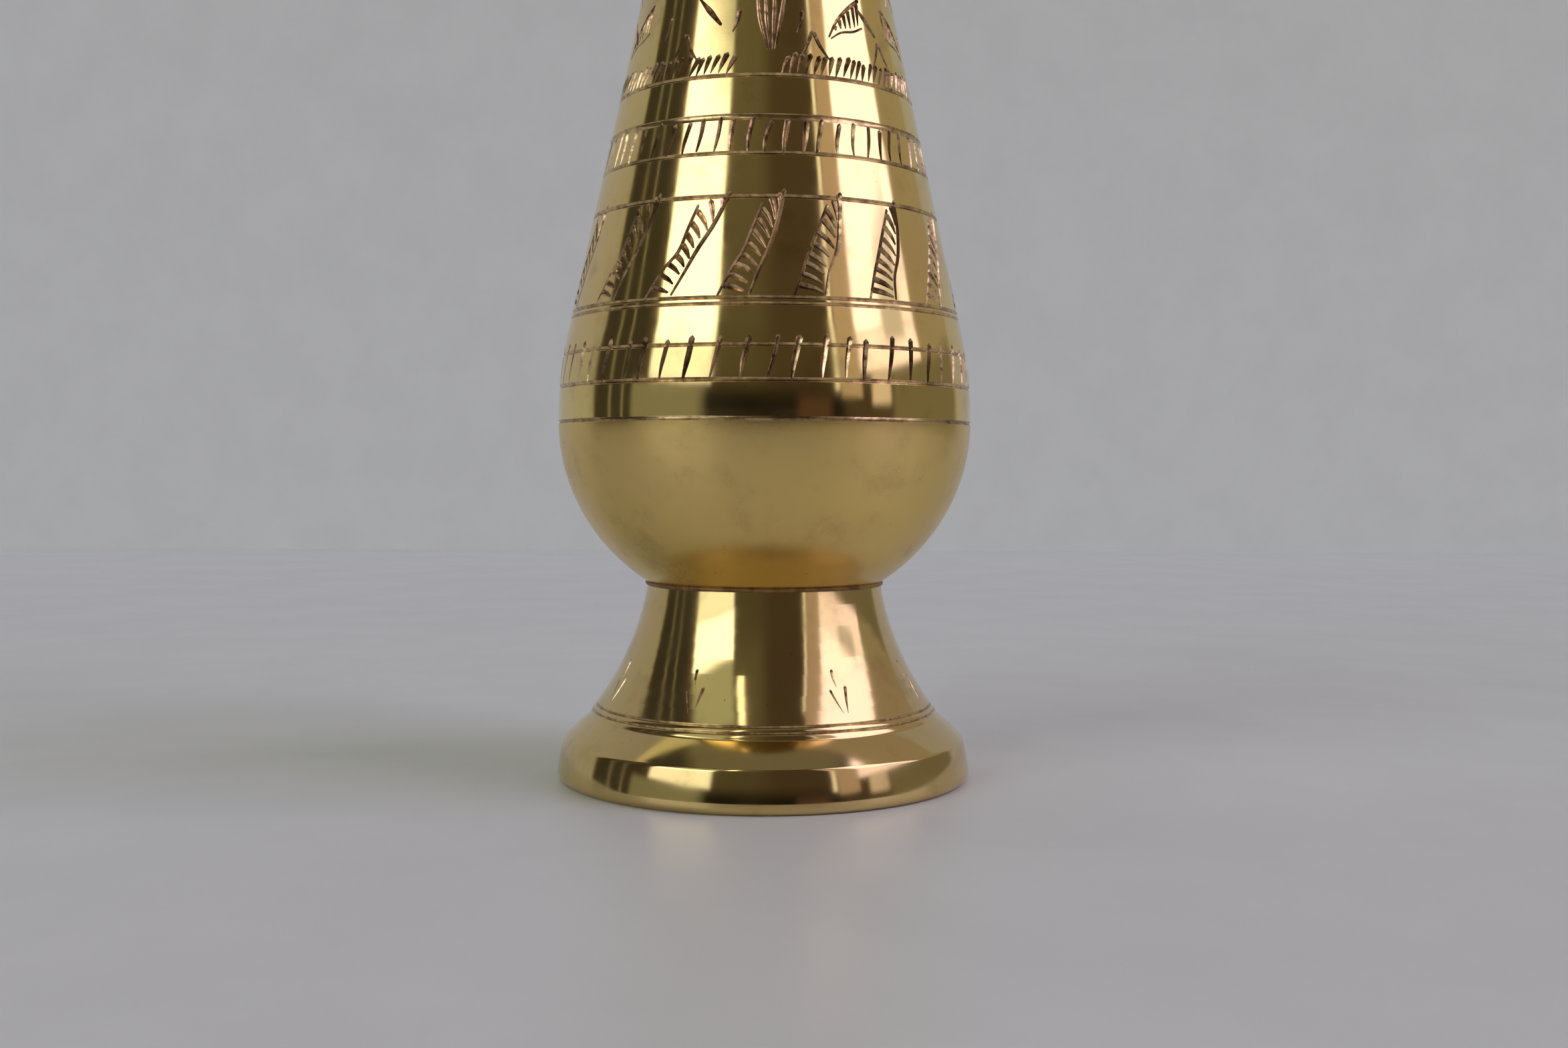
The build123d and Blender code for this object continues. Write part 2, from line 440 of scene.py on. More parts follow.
def noise(tree, coordinates, scale, detail=3.0, roughness=0.5, stretch=(1, 1, 1), shift=(0, 0, 0)):
    """A noise value, with the space stretched along each axis before it is looked up."""
    mapped = add_node(tree, "ShaderNodeMapping", {"Vector": coordinates, "Scale": stretch, "Location": shift})
    inputs = {"Vector": mapped.outputs[0], "Scale": scale, "Detail": detail, "Roughness": roughness}
    made = add_node(tree, "ShaderNodeTexNoise", inputs)
    return made.outputs["Fac"]


def colour(r, g, b):
    return (r, g, b, 1.0)


def new_material(name):
    """An empty material: its tree, object coordinates and Principled shader."""
    material = bpy.data.materials.new(name)
    material.use_nodes = True
    tree = material.node_tree
    tree.nodes.clear()
    shader = tree.nodes.new("ShaderNodeBsdfPrincipled")
    output = tree.nodes.new("ShaderNodeOutputMaterial")
    tree.links.new(shader.outputs[0], output.inputs[0])
    place = tree.nodes.new("ShaderNodeTexCoord").outputs["Object"]
    return material, tree, shader, place


def bump(tree, height, distance, normal=None):
    made = add_node(tree, "ShaderNodeBump", {"Height": height, "Distance": distance, "Strength": 1.0})
    if normal is not None:
        tree.links.new(normal, made.inputs["Normal"])
    return made.outputs[0]


def brass(name, base, warm, dark, rough, wave, turning, pits, stain_band=None):
    """Brass with drifting tone, fine turning marks, slight waves, pits and brown tarnish.
    rough is (smoothest, roughest); wave and turning are bump heights in metres."""
    material, tree, shader, place = new_material(name)
    tone = noise(tree, place, 38.0, 4.0, 0.55)
    cloud = noise(tree, place, 130.0, 5.0, 0.6, shift=(3, 1, 7))
    surface = mix_colour(tree, ramp(tree, tone, 0.35, 0.70), base, warm)
    smudge = ramp(tree, cloud, 0.50, 0.78)
    surface = mix_colour(tree, maths(tree, "MULTIPLY", smudge, 0.30), surface, dark)
    speck = ramp(tree, noise(tree, place, 620.0, 2.0, 0.6, shift=(5, 9, 2)), 0.735, 0.80)
    speck = maths(tree, "MULTIPLY", speck, pits)
    surface = mix_colour(tree, speck, surface, dark)
    roughness = ramp(tree, cloud, 0.25, 0.80, rough[0], rough[1])
    if stain_band:
        low, high, amount = stain_band
        height = add_node(tree, "ShaderNodeSeparateXYZ", {0: place}).outputs["Z"]
        patch = noise(tree, place, 210.0, 5.0, 0.72, stretch=(1, 1, 0.55), shift=(2, 4, 4))
        where = ramp(tree, noise(tree, place, 42.0, 1.0, 0.4, shift=(6, 1, 3)), 0.42, 0.62)
        reach = maths(tree, "MULTIPLY", maths(tree, "MULTIPLY", ramp(tree, height, low, high), amount), where)
        edge = maths(tree, "SUBTRACT", 0.88, maths(tree, "MULTIPLY", reach, 0.46))
        mark = ramp(tree, maths(tree, "SUBTRACT", patch, edge), -0.02, 0.16)
        surface = mix_colour(tree, maths(tree, "MULTIPLY", mark, 0.8), surface, dark)
        roughness = maths(tree, "ADD", roughness, maths(tree, "MULTIPLY", mark, 0.22))
    shader.inputs["Metallic"].default_value = 1.0
    tree.links.new(surface, shader.inputs["Base Color"])
    tree.links.new(roughness, shader.inputs["Roughness"])
    marks = noise(tree, place, 1.0, 3.0, 0.65, stretch=(90, 90, 5200))
    normal = bump(tree, noise(tree, place, 95.0, 1.0, 0.4, shift=(8, 8, 1)), wave)
    normal = bump(tree, marks, turning, normal)
    tree.links.new(normal, shader.inputs["Normal"])
    return material


# ---------------------------------------------------------------- materials
POLISHED = dict(base=colour(0.86, 0.67, 0.25), warm=colour(0.84, 0.61, 0.27), dark=colour(0.20, 0.10, 0.035))
polished = brass("polished_brass_body", **POLISHED, rough=(0.055, 0.13), wave=5.0e-5, turning=4.0e-7, pits=0.35)
FOOT_TONES = dict(base=colour(0.71, 0.54, 0.22), warm=colour(0.70, 0.50, 0.235), dark=colour(0.20, 0.10, 0.035))
polished_foot = brass(
    "polished_brass_foot", **FOOT_TONES, rough=(0.07, 0.16), wave=5.0e-5, turning=5.0e-7, pits=0.6,
    stain_band=((WAIST_Z - 7.0) * MM, (WAIST_Z + 0.3) * MM, 1.0),
)
satin = brass(
    "satin_brass_bowl",
    base=colour(0.79, 0.57, 0.19), warm=colour(0.75, 0.54, 0.20), dark=colour(0.32, 0.20, 0.08),
    rough=(0.22, 0.29), wave=3.5e-5, turning=1.2e-6, pits=0.5,
)
inside_brass = brass(
    "dull_brass_inside",
    base=colour(0.52, 0.37, 0.15), warm=colour(0.44, 0.29, 0.12), dark=colour(0.14, 0.09, 0.05),
    rough=(0.38, 0.55), wave=1.0e-4, turning=3.0e-6, pits=1.0,
)


def cut_brass(name, base, residue, share, rough):
    """Freshly cut metal of a groove, with brown polish residue left in it."""
    material, tree, shader, place = new_material(name)
    grain = noise(tree, place, 900.0, 4.0, 0.6)
    patch = noise(tree, place, 160.0, 3.0, 0.6, shift=(1, 6, 2))
    blend = maths(tree, "ADD", maths(tree, "MULTIPLY", grain, 0.5), maths(tree, "MULTIPLY", patch, 0.5))
    held = maths(tree, "MULTIPLY", ramp(tree, blend, 0.36, 0.64), share)
    tree.links.new(mix_colour(tree, held, base, residue), shader.inputs["Base Color"])
    tree.links.new(ramp(tree, grain, 0.3, 0.7, rough[0], rough[1]), shader.inputs["Roughness"])
    shader.inputs["Metallic"].default_value = 1.0
    tree.links.new(bump(tree, grain, 8.0e-6), shader.inputs["Normal"])
    return material


engraved = cut_brass("engraved_brass", colour(0.80, 0.57, 0.32), colour(0.13, 0.062, 0.03), 1.0, (0.18, 0.34))
turned = cut_brass("turned_line_brass", colour(0.78, 0.56, 0.26), colour(0.17, 0.085, 0.04), 0.8, (0.14, 0.28))


def solder_material(name):
    """Dark brown flux over dull solder."""
    material, tree, shader, place = new_material(name)
    crust = noise(tree, place, 420.0, 5.0, 0.7)
    patch = noise(tree, place, 90.0, 3.0, 0.5, shift=(4, 2, 9))
    flux, bare = colour(0.10, 0.045, 0.018), colour(0.34, 0.19, 0.07)
    surface = mix_colour(tree, ramp(tree, crust, 0.35, 0.65), flux, bare)
    surface = mix_colour(tree, ramp(tree, patch, 0.45, 0.75), surface, colour(0.55, 0.38, 0.14))
    tree.links.new(surface, shader.inputs["Base Color"])
    tree.links.new(ramp(tree, crust, 0.3, 0.7, 0.35, 0.62), shader.inputs["Roughness"])
    tree.links.new(ramp(tree, patch, 0.3, 0.7, 0.45, 0.85), shader.inputs["Metallic"])
    tree.links.new(bump(tree, crust, 6.0e-5), shader.inputs["Normal"])
    return material


solder = solder_material("brown_solder")
SHELL_MATERIALS = [polished, inside_brass, turned, engraved]


# ---------------------------------------------------------------- engraved strokes
rng = random.Random(731)


def vary(middle, spread):
    return middle + rng.uniform(-spread, spread)


def bend(points, steps):
    """A smooth curve through two or more (x, y) points."""
    points = [np.array(p, float) for p in points]
    ends = [2 * points[0] - points[1], *points, 2 * points[-1] - points[-2]]
    curve = []
    spans = len(points) - 1
    for i in range(steps + 1):
        s = spans * i / steps
        k = min(int(s), spans - 1)
        t = s - k
        p0, p1, p2, p3 = ends[k:k + 4]
        square = 2 * p0 - 5 * p1 + 4 * p2 - p3
        cube = 3 * p1 - p0 - 3 * p2 + p3
        curve.append(0.5 * ((2 * p1) + (p2 - p0) * t + square * t**2 + cube * t**3))
    return curve


def stroke(fine, turn, height, points, widths, steps=8, blunt=True):
    """A stroke about a centre (turn in degrees, height in millimetres).
    points are (right, up) in millimetres from the centre, the first one being the graver's deep end.
    widths are the cut's width at the start, middle and end."""
    made = []
    curve = bend(points, steps)
    radius = side_at(fine, height)[0]
    start, middle, end = widths
    if blunt:
        back = curve[0] - curve[1]
        back /= np.linalg.norm(back)
        lip = curve[0] + back * start * 0.45
        made.append((turn + math.degrees(lip[0] / radius), height + lip[1], start * 0.12))
    for i, (right, up) in enumerate(curve):
        s = i / steps
        width = start + (middle - start) * s * 2 if s < 0.5 else middle + (end - middle) * (s * 2 - 1)
        made.append((turn + math.degrees(right / radius), height + up, max(width, 0.03)))
    return made


def slat_band(low, high, count, width, lean, overshoot):
    """A row of slats between two lines, each with its deep end at the top."""
    strokes = []
    for i in range(count):
        turn = 360.0 * (i + rng.uniform(-0.17, 0.17)) / count
        top = high + vary(overshoot, 0.5)
        bottom = low + vary(0.1, 0.3)
        length = top - bottom
        slant = length * math.tan(math.radians(vary(lean, 5.0)))
        sway = vary(0.0, 0.22)
        head = width * vary(1.0, 0.16)
        strokes.append(stroke(
            body_fine, turn, GIRDLE_Z + bottom,
            [
                (slant, length),
                (slant * 0.62 + sway, length * 0.64),
                (slant * 0.25 + sway, length * 0.3),
                (0.0, 0.0),
            ],
            (head, head * vary(0.85, 0.1), head * vary(0.42, 0.12)),
        ))
    return strokes


def hatched_leaf(turn, base, lean):
    """A leaning leaf: two curved outlines and short deep hatches between them."""
    strokes = []
    right = [
        (4.1 + 2.0 * lean, 15.6),
        (2.9 + 0.9 * lean, 11.1),
        (1.6 + 0.1 * lean, 7.4),
        (0.0, 3.9),
        (-1.2 - 0.7 * lean, 0.3),
    ]
    left = [
        (0.6 + 0.4 * lean, 13.9),
        (-0.9 + 0.6 * lean, 10.4),
        (-2.4 + 0.6 * lean, 7.0),
        (-3.9, 4.2),
        (-5.9 - 0.6 * lean, 0.2),
    ]
    right = [(x + rng.uniform(-0.15, 0.15), y + rng.uniform(-0.2, 0.2)) for x, y in right]
    left = [(x + rng.uniform(-0.15, 0.15), y + rng.uniform(-0.2, 0.2)) for x, y in left]
    height = GIRDLE_Z + base
    strokes.append(stroke(body_fine, turn, height, left, (0.50, 0.64, 0.38), 14))
    strokes.append(stroke(body_fine, turn, height, right, (0.68, 0.72, 0.40), 14))
    left_curve = bend(left, 40)
    right_curve = bend(right, 40)
    top_edge = [right_curve[0] * (1 - s) + left_curve[0] * s for s in (0.25, 0.62)]
    starts = top_edge + [left_curve[k] for k in (2, 7, 12, 17, 22, 27, 32, 36)]
    reaches = (5, 10, 13, 17, 21, 25, 29, 32, 36, 39)
    for i, (start, reach) in enumerate(zip(starts, reaches)):
        start = start + np.array([vary(0.22, 0.12), vary(-0.1, 0.15)])
        end = right_curve[reach] - np.array([0.25, 0.0])
        end = start + (end - start) * vary(0.90, 0.08)
        middle = (start + end) / 2 + np.array([vary(0.14, 0.1), 0.1])
        head = vary(0.98, 0.10)
        widths = (head, head * 0.86, vary(0.34, 0.06))
        strokes.append(stroke(body_fine, turn, height, [start, middle, end], widths, 6))
    return strokes


def tick_row(base, count, breaks):
    """Short leaning ticks that stand on a line, left out just before each of the breaks."""
    strokes = []
    for i in range(count):
        turn = 360.0 * (i + rng.uniform(-0.14, 0.14)) / count
        if any((place - turn) % 360 < 14 or (turn - place) % 360 < 3 for place in breaks):
            continue
        length = vary(2.7, 0.3)
        slant = length * math.tan(math.radians(vary(21.0, 6.0)))
        head = vary(0.88, 0.09)
        strokes.append(stroke(
            body_fine, turn, GIRDLE_Z + base + vary(0.35, 0.15),
            [(slant, length), (slant * 0.45, length * 0.5), (0.0, 0.0)],
            (head, head * 0.8, 0.18), 5,
        ))
    return strokes


def fan(turn, base, size=1.0):
    """Long strokes that spread upwards from one point."""
    strokes = []
    for spread in (-2.3, -0.9, 0.6, 2.0):
        top = (spread * size + rng.uniform(-0.2, 0.2), vary(9.5, 0.9) * size)
        strokes.append(stroke(
            body_fine, turn, GIRDLE_Z + base,
            [top, (spread * 0.75 * size, 5.0 * size), (spread * 0.12 * size + 0.12 * spread, 0.3)],
            (vary(0.50, 0.06), 0.74, 0.24), 8,
        ))
    return strokes


def zigzag(turn, base, size=1.0):
    """A pointed petal of two strokes."""
    height = GIRDLE_Z + base
    left = [(-0.1, 3.3 * size), (-0.7 * size, 1.8 * size), (-1.7 * size, 0.0)]
    right = [(0.25, 3.2 * size), (0.9 * size, 1.6 * size), (2.0 * size, 0.1)]
    return [
        stroke(body_fine, turn, height, left, (0.62, 0.52, 0.26), 6),
        stroke(body_fine, turn, height, right, (0.72, 0.60, 0.28), 6),
    ]


def petal(turn, base, way=1, size=1.0):
    """A petal with a curved outline over upright hatches that stop on a lower curve."""
    strokes = []
    outline = [
        (3.9 * way * size, 6.9 * size),
        (1.4 * way * size, 5.2 * size),
        (-1.0 * way * size, 2.9 * size),
        (-2.6 * way * size, 0.2 * size),
    ]
    lower = [
        (4.0 * way * size, 2.6 * size),
        (2.0 * way * size, 1.7 * size),
        (-0.4 * way * size, 1.2 * size),
        (-2.3 * way * size, 0.0),
    ]
    height = GIRDLE_Z + base
    strokes.append(stroke(body_fine, turn, height, outline, (0.66, 0.56, 0.30), 9))
    strokes.append(stroke(body_fine, turn, height, lower, (0.36, 0.42, 0.24), 9))
    top_curve = bend(outline, 40)
    low_curve = bend(lower, 40)
    for i in range(6):
        s = int(3 + 33 * (i + rng.uniform(-0.15, 0.15)) / 6)
        start = top_curve[s] + np.array([0.1 * way, -0.25])
        end = low_curve[s] + np.array([-0.35 * way, 0.45])
        widths = (vary(0.80, 0.08), 0.62, 0.22)
        strokes.append(stroke(body_fine, turn, height, [start, (start + end) / 2, end], widths, 5))
    return strokes


# Where each leaf stands, in degrees, and how far it leans.
LEAF_TURNS = (
    (-92, 0.4), (-70, 0.3), (-44, 0.6), (-22.5, 1.15), (-2, 0.1), (18, -0.6), (39.5, -0.8), (62.5, 0.0),
    (86, 0.4), (109, -0.2), (132, 0.7), (155, -0.5), (178, 0.5), (201, 0.9), (224, 0.0), (246, 0.3),
)
PETAL_TURNS = ((-66, 1), (31.5, 1), (66, -1), (104, 1), (142, -1), (176, 1), (214, 1), (250, -1))
FAN_TURNS = (2, 86, 124, 160, 196, 232, 272)

body_strokes = []
body_strokes += slat_band(5.53, 10.56, 54, 0.92, 11.0, 0.95)
body_strokes += slat_band(38.9, 43.6, 62, 0.82, 9.0, 0.35)
for leaf_turn, leaf_lean in LEAF_TURNS:
    body_strokes += hatched_leaf(leaf_turn, 17.4, leaf_lean)
body_strokes += tick_row(50.8, 124, FAN_TURNS)
for petal_turn, way in PETAL_TURNS:
    body_strokes += petal(petal_turn, 57.0, way)
    body_strokes += petal(petal_turn + 14, 67.5, -way, 0.9)
for fan_turn in FAN_TURNS:
    body_strokes += fan(fan_turn, 54.4)
    body_strokes += fan(fan_turn + 17, 68.5, 0.9)
for zigzag_turn in (-33, 18, 50, 116, 186, 262):
    body_strokes += zigzag(zigzag_turn, 53.4, 1.3)
    body_strokes += zigzag(zigzag_turn + 20, 65.0, 1.1)
for bold_turn in (-22, 45, 95, 150, 205, 241, 290):
    bold = [(1.5, -1.2), (-0.4, 1.0), (-2.4, 3.2)]
    body_strokes.append(stroke(body_fine, bold_turn, GIRDLE_Z + 60.0, bold, (0.5, 1.0, 0.3), 7))
WEDGE_WIDTHS = (0.75, 0.60, 0.2)
for wedge_turn in (-43, -12, 13, 72, 110, 147, 181, 220, 258):
    low = [(0.5, 3.2), (0.2, 1.6), (-0.4, 0.0)]
    high = [(-0.4, 3.4), (0.1, 1.7), (0.5, 0.0)]
    body_strokes.append(stroke(body_fine, wedge_turn, GIRDLE_Z + 57.5, low, WEDGE_WIDTHS, 6))
    body_strokes.append(stroke(body_fine, wedge_turn + 8, GIRDLE_Z + 76.5, high, WEDGE_WIDTHS, 6))
body_strokes += slat_band(82.6, 88.4, 40, 0.75, 9.0, 0.2)


def sprig(turn):
    """Three strokes that point down to one place."""
    centre = vary(0.0, 0.15)
    return [
        stroke(foot_fine, turn, 16.0, [(centre, 3.5), (centre, 2.3), (0.12, 1.1)], (0.55, 0.38, 0.10), 6),
        stroke(foot_fine, turn, 13.4, [(-1.15, 3.3), (-0.6, 1.9), (0.15, 0.1)], (0.42, 0.30, 0.08), 6),
        stroke(foot_fine, turn, 13.4, [(1.75, 3.6), (1.3, 1.9), (0.95, 0.1)], (0.60, 0.40, 0.10), 6),
    ]


foot_strokes = []
for sprig_turn in (-68, -26, 27, 69, 113, 160, 204, 250):
    foot_strokes += sprig(sprig_turn)

# ---------------------------------------------------------------- upper body
body_heights = [p[1] for p in trace((GIRDLE_R, GIRDLE_Z), 0.0, BODY_RUNS, spacing=2.0)][1:]
body_lines = [(GIRDLE_Z + rise, width, depth) for rise, width, depth in BODY_LINES]


def shape_of_line(height):
    """The section of the turned line at a height."""
    return COVE_SHAPE if abs(height - GIRDLE_Z - COVE_RISE) < 0.1 else V_SHAPE


body_rows = lined_side(body_fine, body_heights, body_lines, shape_of_line)
GROOVE_HALF, GROOVE_DEPTH = 0.26, 0.25
girdle_rows = [
    (GIRDLE_R - GROOVE_DEPTH, GIRDLE_Z, 0.75, True),
    (GIRDLE_R - GROOVE_DEPTH * 0.45, GIRDLE_Z + GROOVE_HALF * 0.5, 0.78, True),
    (GIRDLE_R - GROOVE_DEPTH * 0.06, GIRDLE_Z + GROOVE_HALF * 0.95, 0.45, True),
    (GIRDLE_R, GIRDLE_Z + GROOVE_HALF * 1.2, 0.0, False),
]
body_rows = girdle_rows + [row for row in body_rows if row[1] > GIRDLE_Z + GROOVE_HALF * 1.3]
neck_outer = body_fine[-1][:2]
neck_tilt = float(body_fine[-1][2])
neck_in = np.array([-math.cos(neck_tilt), -math.sin(neck_tilt)])
neck_up = np.array([-math.sin(neck_tilt), math.cos(neck_tilt)])
neck_middle = neck_outer + neck_in * WALL / 2
neck_inner = neck_outer + neck_in * WALL
body_inner = trace((GIRDLE_R - WALL, GIRDLE_Z), 0.0, BODY_RUNS, inset=WALL, spacing=5.0)
rebate_top = GIRDLE_Z + TONGUE + FILLER_GAP
neck_rebate = neck_middle - neck_up * (TONGUE + FILLER_GAP)
neck_rebate_inner = neck_inner - neck_up * (TONGUE + FILLER_GAP)
body_loop = [(row[0], row[1]) for row in body_rows]
body_kinds = [TURNED if row[3] else INSET_FACE for row in body_rows]
body_kinds[-1] = INSIDE
inner_part = [tuple(neck_middle), tuple(neck_rebate), tuple(neck_rebate_inner)]
inner_low, inner_high = rebate_top + 0.5, neck_rebate_inner[1] - 0.5
inner_part += [(r, z) for r, z, _ in body_inner[::-1] if inner_low < z < inner_high]
inner_part += [
    (GIRDLE_R - WALL, rebate_top),
    (GIRDLE_R - WALL / 2, rebate_top),
    (GIRDLE_R - WALL / 2, GIRDLE_Z),
]
body_loop += inner_part
body_kinds += [INSIDE] * len(inner_part)

body_shell = revolve("body_shell", body_loop, body_kinds, SHELL_MATERIALS)
engrave(body_shell, body_fine, body_strokes)
smooth_side(body_shell, body_rows)
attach(body_shell, "root")
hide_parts("upper_body")

# ---------------------------------------------------------------- lower bowl
bowl_rows = []
BOWL_STEPS = 44
CENTRE_FLAT_R = 3.0
start_angle = math.acos(CENTRE_FLAT_R / GIRDLE_R)
for i in range(BOWL_STEPS):
    a = -start_angle + start_angle * i / BOWL_STEPS
    r = GIRDLE_R * math.cos(a)
    z = GIRDLE_Z + BOWL_DEPTH * math.sin(a)
    bowl_rows.append((r, z, math.atan2(math.sin(a) * GIRDLE_R, math.cos(a) * BOWL_DEPTH), False))
bowl_rows = [row for row in bowl_rows if row[1] < GIRDLE_Z - 0.8]
bowl_rows += [
    (GIRDLE_R, GIRDLE_Z - GROOVE_HALF * 1.2, 0.0, True),
    (GIRDLE_R - GROOVE_DEPTH * 0.06, GIRDLE_Z - GROOVE_HALF * 0.95, -0.45, True),
    (GIRDLE_R - GROOVE_DEPTH * 0.45, GIRDLE_Z - GROOVE_HALF * 0.5, -0.78, True),
    (GIRDLE_R - GROOVE_DEPTH, GIRDLE_Z, -0.75, False),
]
bowl_loop = [(0.0, bowl_rows[0][1])] + [(row[0], row[1]) for row in bowl_rows]
bowl_kinds = [INSET_FACE] + [TURNED if row[3] else INSET_FACE for row in bowl_rows]
bowl_kinds[-1] = INSIDE
inner_r, inner_depth = GIRDLE_R - WALL, BOWL_DEPTH - WALL
bowl_inner = [
    (GIRDLE_R - WALL / 2, GIRDLE_Z),
    (GIRDLE_R - WALL / 2, GIRDLE_Z + TONGUE),
    (inner_r, GIRDLE_Z + TONGUE),
]
INNER_STEPS = 20
inner_start = math.acos(CENTRE_FLAT_R / inner_r)
for k in range(INNER_STEPS + 1):
    a = inner_start * k / INNER_STEPS
    bowl_inner.append((inner_r * math.cos(a), GIRDLE_Z - inner_depth * math.sin(a)))
bowl_inner.append((0.0, bowl_inner[-1][1]))
bowl_loop += bowl_inner
bowl_kinds += [INSIDE] * (len(bowl_inner) - 1)

bowl_shell = revolve("bowl_shell", bowl_loop, bowl_kinds, [satin, inside_brass, turned, engraved], closed=False)
smooth_side(bowl_shell, bowl_rows)
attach(bowl_shell, "root")
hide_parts("lower_bowl")

# ---------------------------------------------------------------- foot
outside_down = arc_through((WAIST_R, WAIST_Z), FLARE_MIDDLE, FLARE_ROOT, 26)[:-1]
LINE_HALF, LINE_DEPTH = 0.253, 0.20


def between(a, b, s):
    """Point at share s from a to b."""
    return (a[0] + (b[0] - a[0]) * s, a[1] + (b[1] - a[1]) * s)


def line_in_side(corner, before, after):
    """A turned line at a point of the side: eased edges and a rounded bottom."""
    def towards(target):
        d = math.hypot(target[0] - corner[0], target[1] - corner[1])
        return between(corner, target, LINE_HALF / d)

    a, b = towards(before), towards(after)
    inward = (b[1] - a[1], -(b[0] - a[0]))
    size = math.hypot(*inward)
    inward = (inward[0] / size, inward[1] / size)
    points = [a]
    for share, deep in ((0.12, 0.10), (0.38, 0.80), (0.5, 1.0), (0.62, 0.80), (0.88, 0.10)):
        p = between(a, b, share)
        points.append((p[0] + inward[0] * LINE_DEPTH * deep, p[1] + inward[1] * LINE_DEPTH * deep))
    points.append(b)
    return points


first_line = line_in_side(FLARE_ROOT, outside_down[-1], SECOND_LINE)
second_line = line_in_side(SECOND_LINE, FLARE_ROOT, STEP_MIDDLE)
flange = arc_through(STEP_ROOT, FLANGE_MIDDLE, FLANGE_END, 14)
crown = arc_through(FLANGE_END, CROWN_MIDDLE, RIM_TOP, 6)
rim = arc_through(RIM_TOP, RIM_MIDDLE, (RIM_R, RIM_BOTTOM), 7)[1:]
under = arc_through((RIM_R, RIM_BOTTOM), UNDER_MIDDLE, (STANDING_OUTER_R, 0.0), 9)
step = [STEP_MIDDLE, between(STEP_MIDDLE, STEP_ROOT, 0.7)]
step += [between(STEP_ROOT, flange[1], s) for s in (0.1, 0.5)]
foot_down = [(p, INSET_FACE) for p in outside_down[:-1]]
foot_down += [(between(outside_down[-1], FLARE_ROOT, 0.3), INSET_FACE)]
for line in (first_line, second_line):
    foot_down += [(p, TURNED) for p in line[:-1]] + [(line[-1], INSET_FACE)]
foot_down += [(p, INSET_FACE) for p in step + flange[1:] + crown[1:] + rim + under[1:]]
foot_loop = [p for p, _ in foot_down]
foot_kinds = [kind for _, kind in foot_down]
foot_kinds[-1] = INSIDE
hollow = [
    (STANDING_INNER_R, 0.0),
    (STANDING_INNER_R, RIM_TOP[1]),
    (STEP_ROOT[0] - FOOT_WALL, STEP_ROOT[1] - FOOT_WALL),
]
inner_arc = arc_through(
    (FLARE_ROOT[0] - FOOT_WALL, FLARE_ROOT[1] - FOOT_WALL / 2),
    (FLARE_MIDDLE[0] - FOOT_WALL, FLARE_MIDDLE[1] - FOOT_WALL / 3),
    (WAIST_R - FOOT_WALL, GIRDLE_Z - BOWL_DEPTH / 2), 30,
)


def bowl_height(r):
    return GIRDLE_Z - BOWL_DEPTH * math.sqrt(1 - (r / GIRDLE_R) ** 2)


hollow += [p for p in inner_arc if p[1] < bowl_height(p[0]) - 0.2]
top_r = hollow[-1][0]
hollow.append((top_r, bowl_height(top_r)))
foot_loop += hollow
foot_kinds += [INSIDE] * len(hollow)
foot_shell = revolve("foot_shell", foot_loop, foot_kinds, [polished_foot, inside_brass, turned, engraved])
engrave(foot_shell, foot_fine, foot_strokes)
flare_rows = [row for row in foot_fine if row[1] > first_line[0][1]]
smooth_side(foot_shell, flare_rows)
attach(foot_shell, "root")
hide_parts("foot")

# ---------------------------------------------------------------- trumpet mouth
LIP_STEPS = 20
BEAD_CLEARANCE = 0.3
mouth_outer = trace(tuple(neck_outer), neck_tilt, MOUTH_RUNS, spacing=1.0)
mouth_inner = trace(tuple(neck_inner), neck_tilt, MOUTH_RUNS, inset=WALL, spacing=1.2)


def lengths(points):
    total = [0.0]
    for a, b in zip(points, points[1:]):
        total.append(total[-1] + math.hypot(b[0] - a[0], b[1] - a[1]))
    return total


def bead(centre, radius, start, end, steps):
    """Points round a bead, from one angle to another, in degrees."""
    return [
        (centre[0] + radius * math.cos(math.radians(start + (end - start) * i / steps)),
         centre[1] + radius * math.sin(math.radians(start + (end - start) * i / steps)))
        for i in range(steps + 1)
    ]


collar_centre = neck_middle + neck_up * (COLLAR_RISE + COLLAR_BEAD / 2)
collar_half = math.sqrt(COLLAR_BEAD**2 - (WALL / 2) ** 2)
collar_to = COLLAR_RISE + COLLAR_BEAD / 2 + collar_half
collar_open = math.degrees(math.atan2(collar_half, WALL / 2))
neck_out_angle = math.degrees(math.atan2(-neck_in[1], -neck_in[0]))
lip_centre = ((mouth_outer[-1][0] + mouth_inner[-1][0]) / 2, (mouth_outer[-1][1] + mouth_inner[-1][1]) / 2)
lip_half = math.sqrt(LIP_BEAD**2 - (WALL / 2) ** 2)
lip_open = math.degrees(math.atan2(lip_half, WALL / 2))
lip_out_angle = math.degrees(mouth_outer[-1][2])

outer_lengths = lengths(mouth_outer)
inner_lengths = lengths(mouth_inner)
mouth_loop = [tuple(neck_middle), tuple(neck_outer)]
mouth_loop += bead(collar_centre, COLLAR_BEAD, neck_out_angle - collar_open, neck_out_angle + collar_open, 16)
plain_from = collar_to + BEAD_CLEARANCE
outer_to = outer_lengths[-1] - lip_half - BEAD_CLEARANCE
inner_to = inner_lengths[-1] - lip_half - BEAD_CLEARANCE
mouth_loop += [(p[0], p[1]) for p, s in zip(mouth_outer, outer_lengths) if plain_from < s < outer_to]
outer_count = len(mouth_loop)
mouth_loop += bead(lip_centre, LIP_BEAD, lip_out_angle - lip_open, lip_out_angle + 180 + lip_open, LIP_STEPS)
going_down = list(zip(mouth_inner, inner_lengths))[::-1]
mouth_loop += [(p[0], p[1]) for p, s in going_down if plain_from < s < inner_to]
neck_in_angle = neck_out_angle + 180
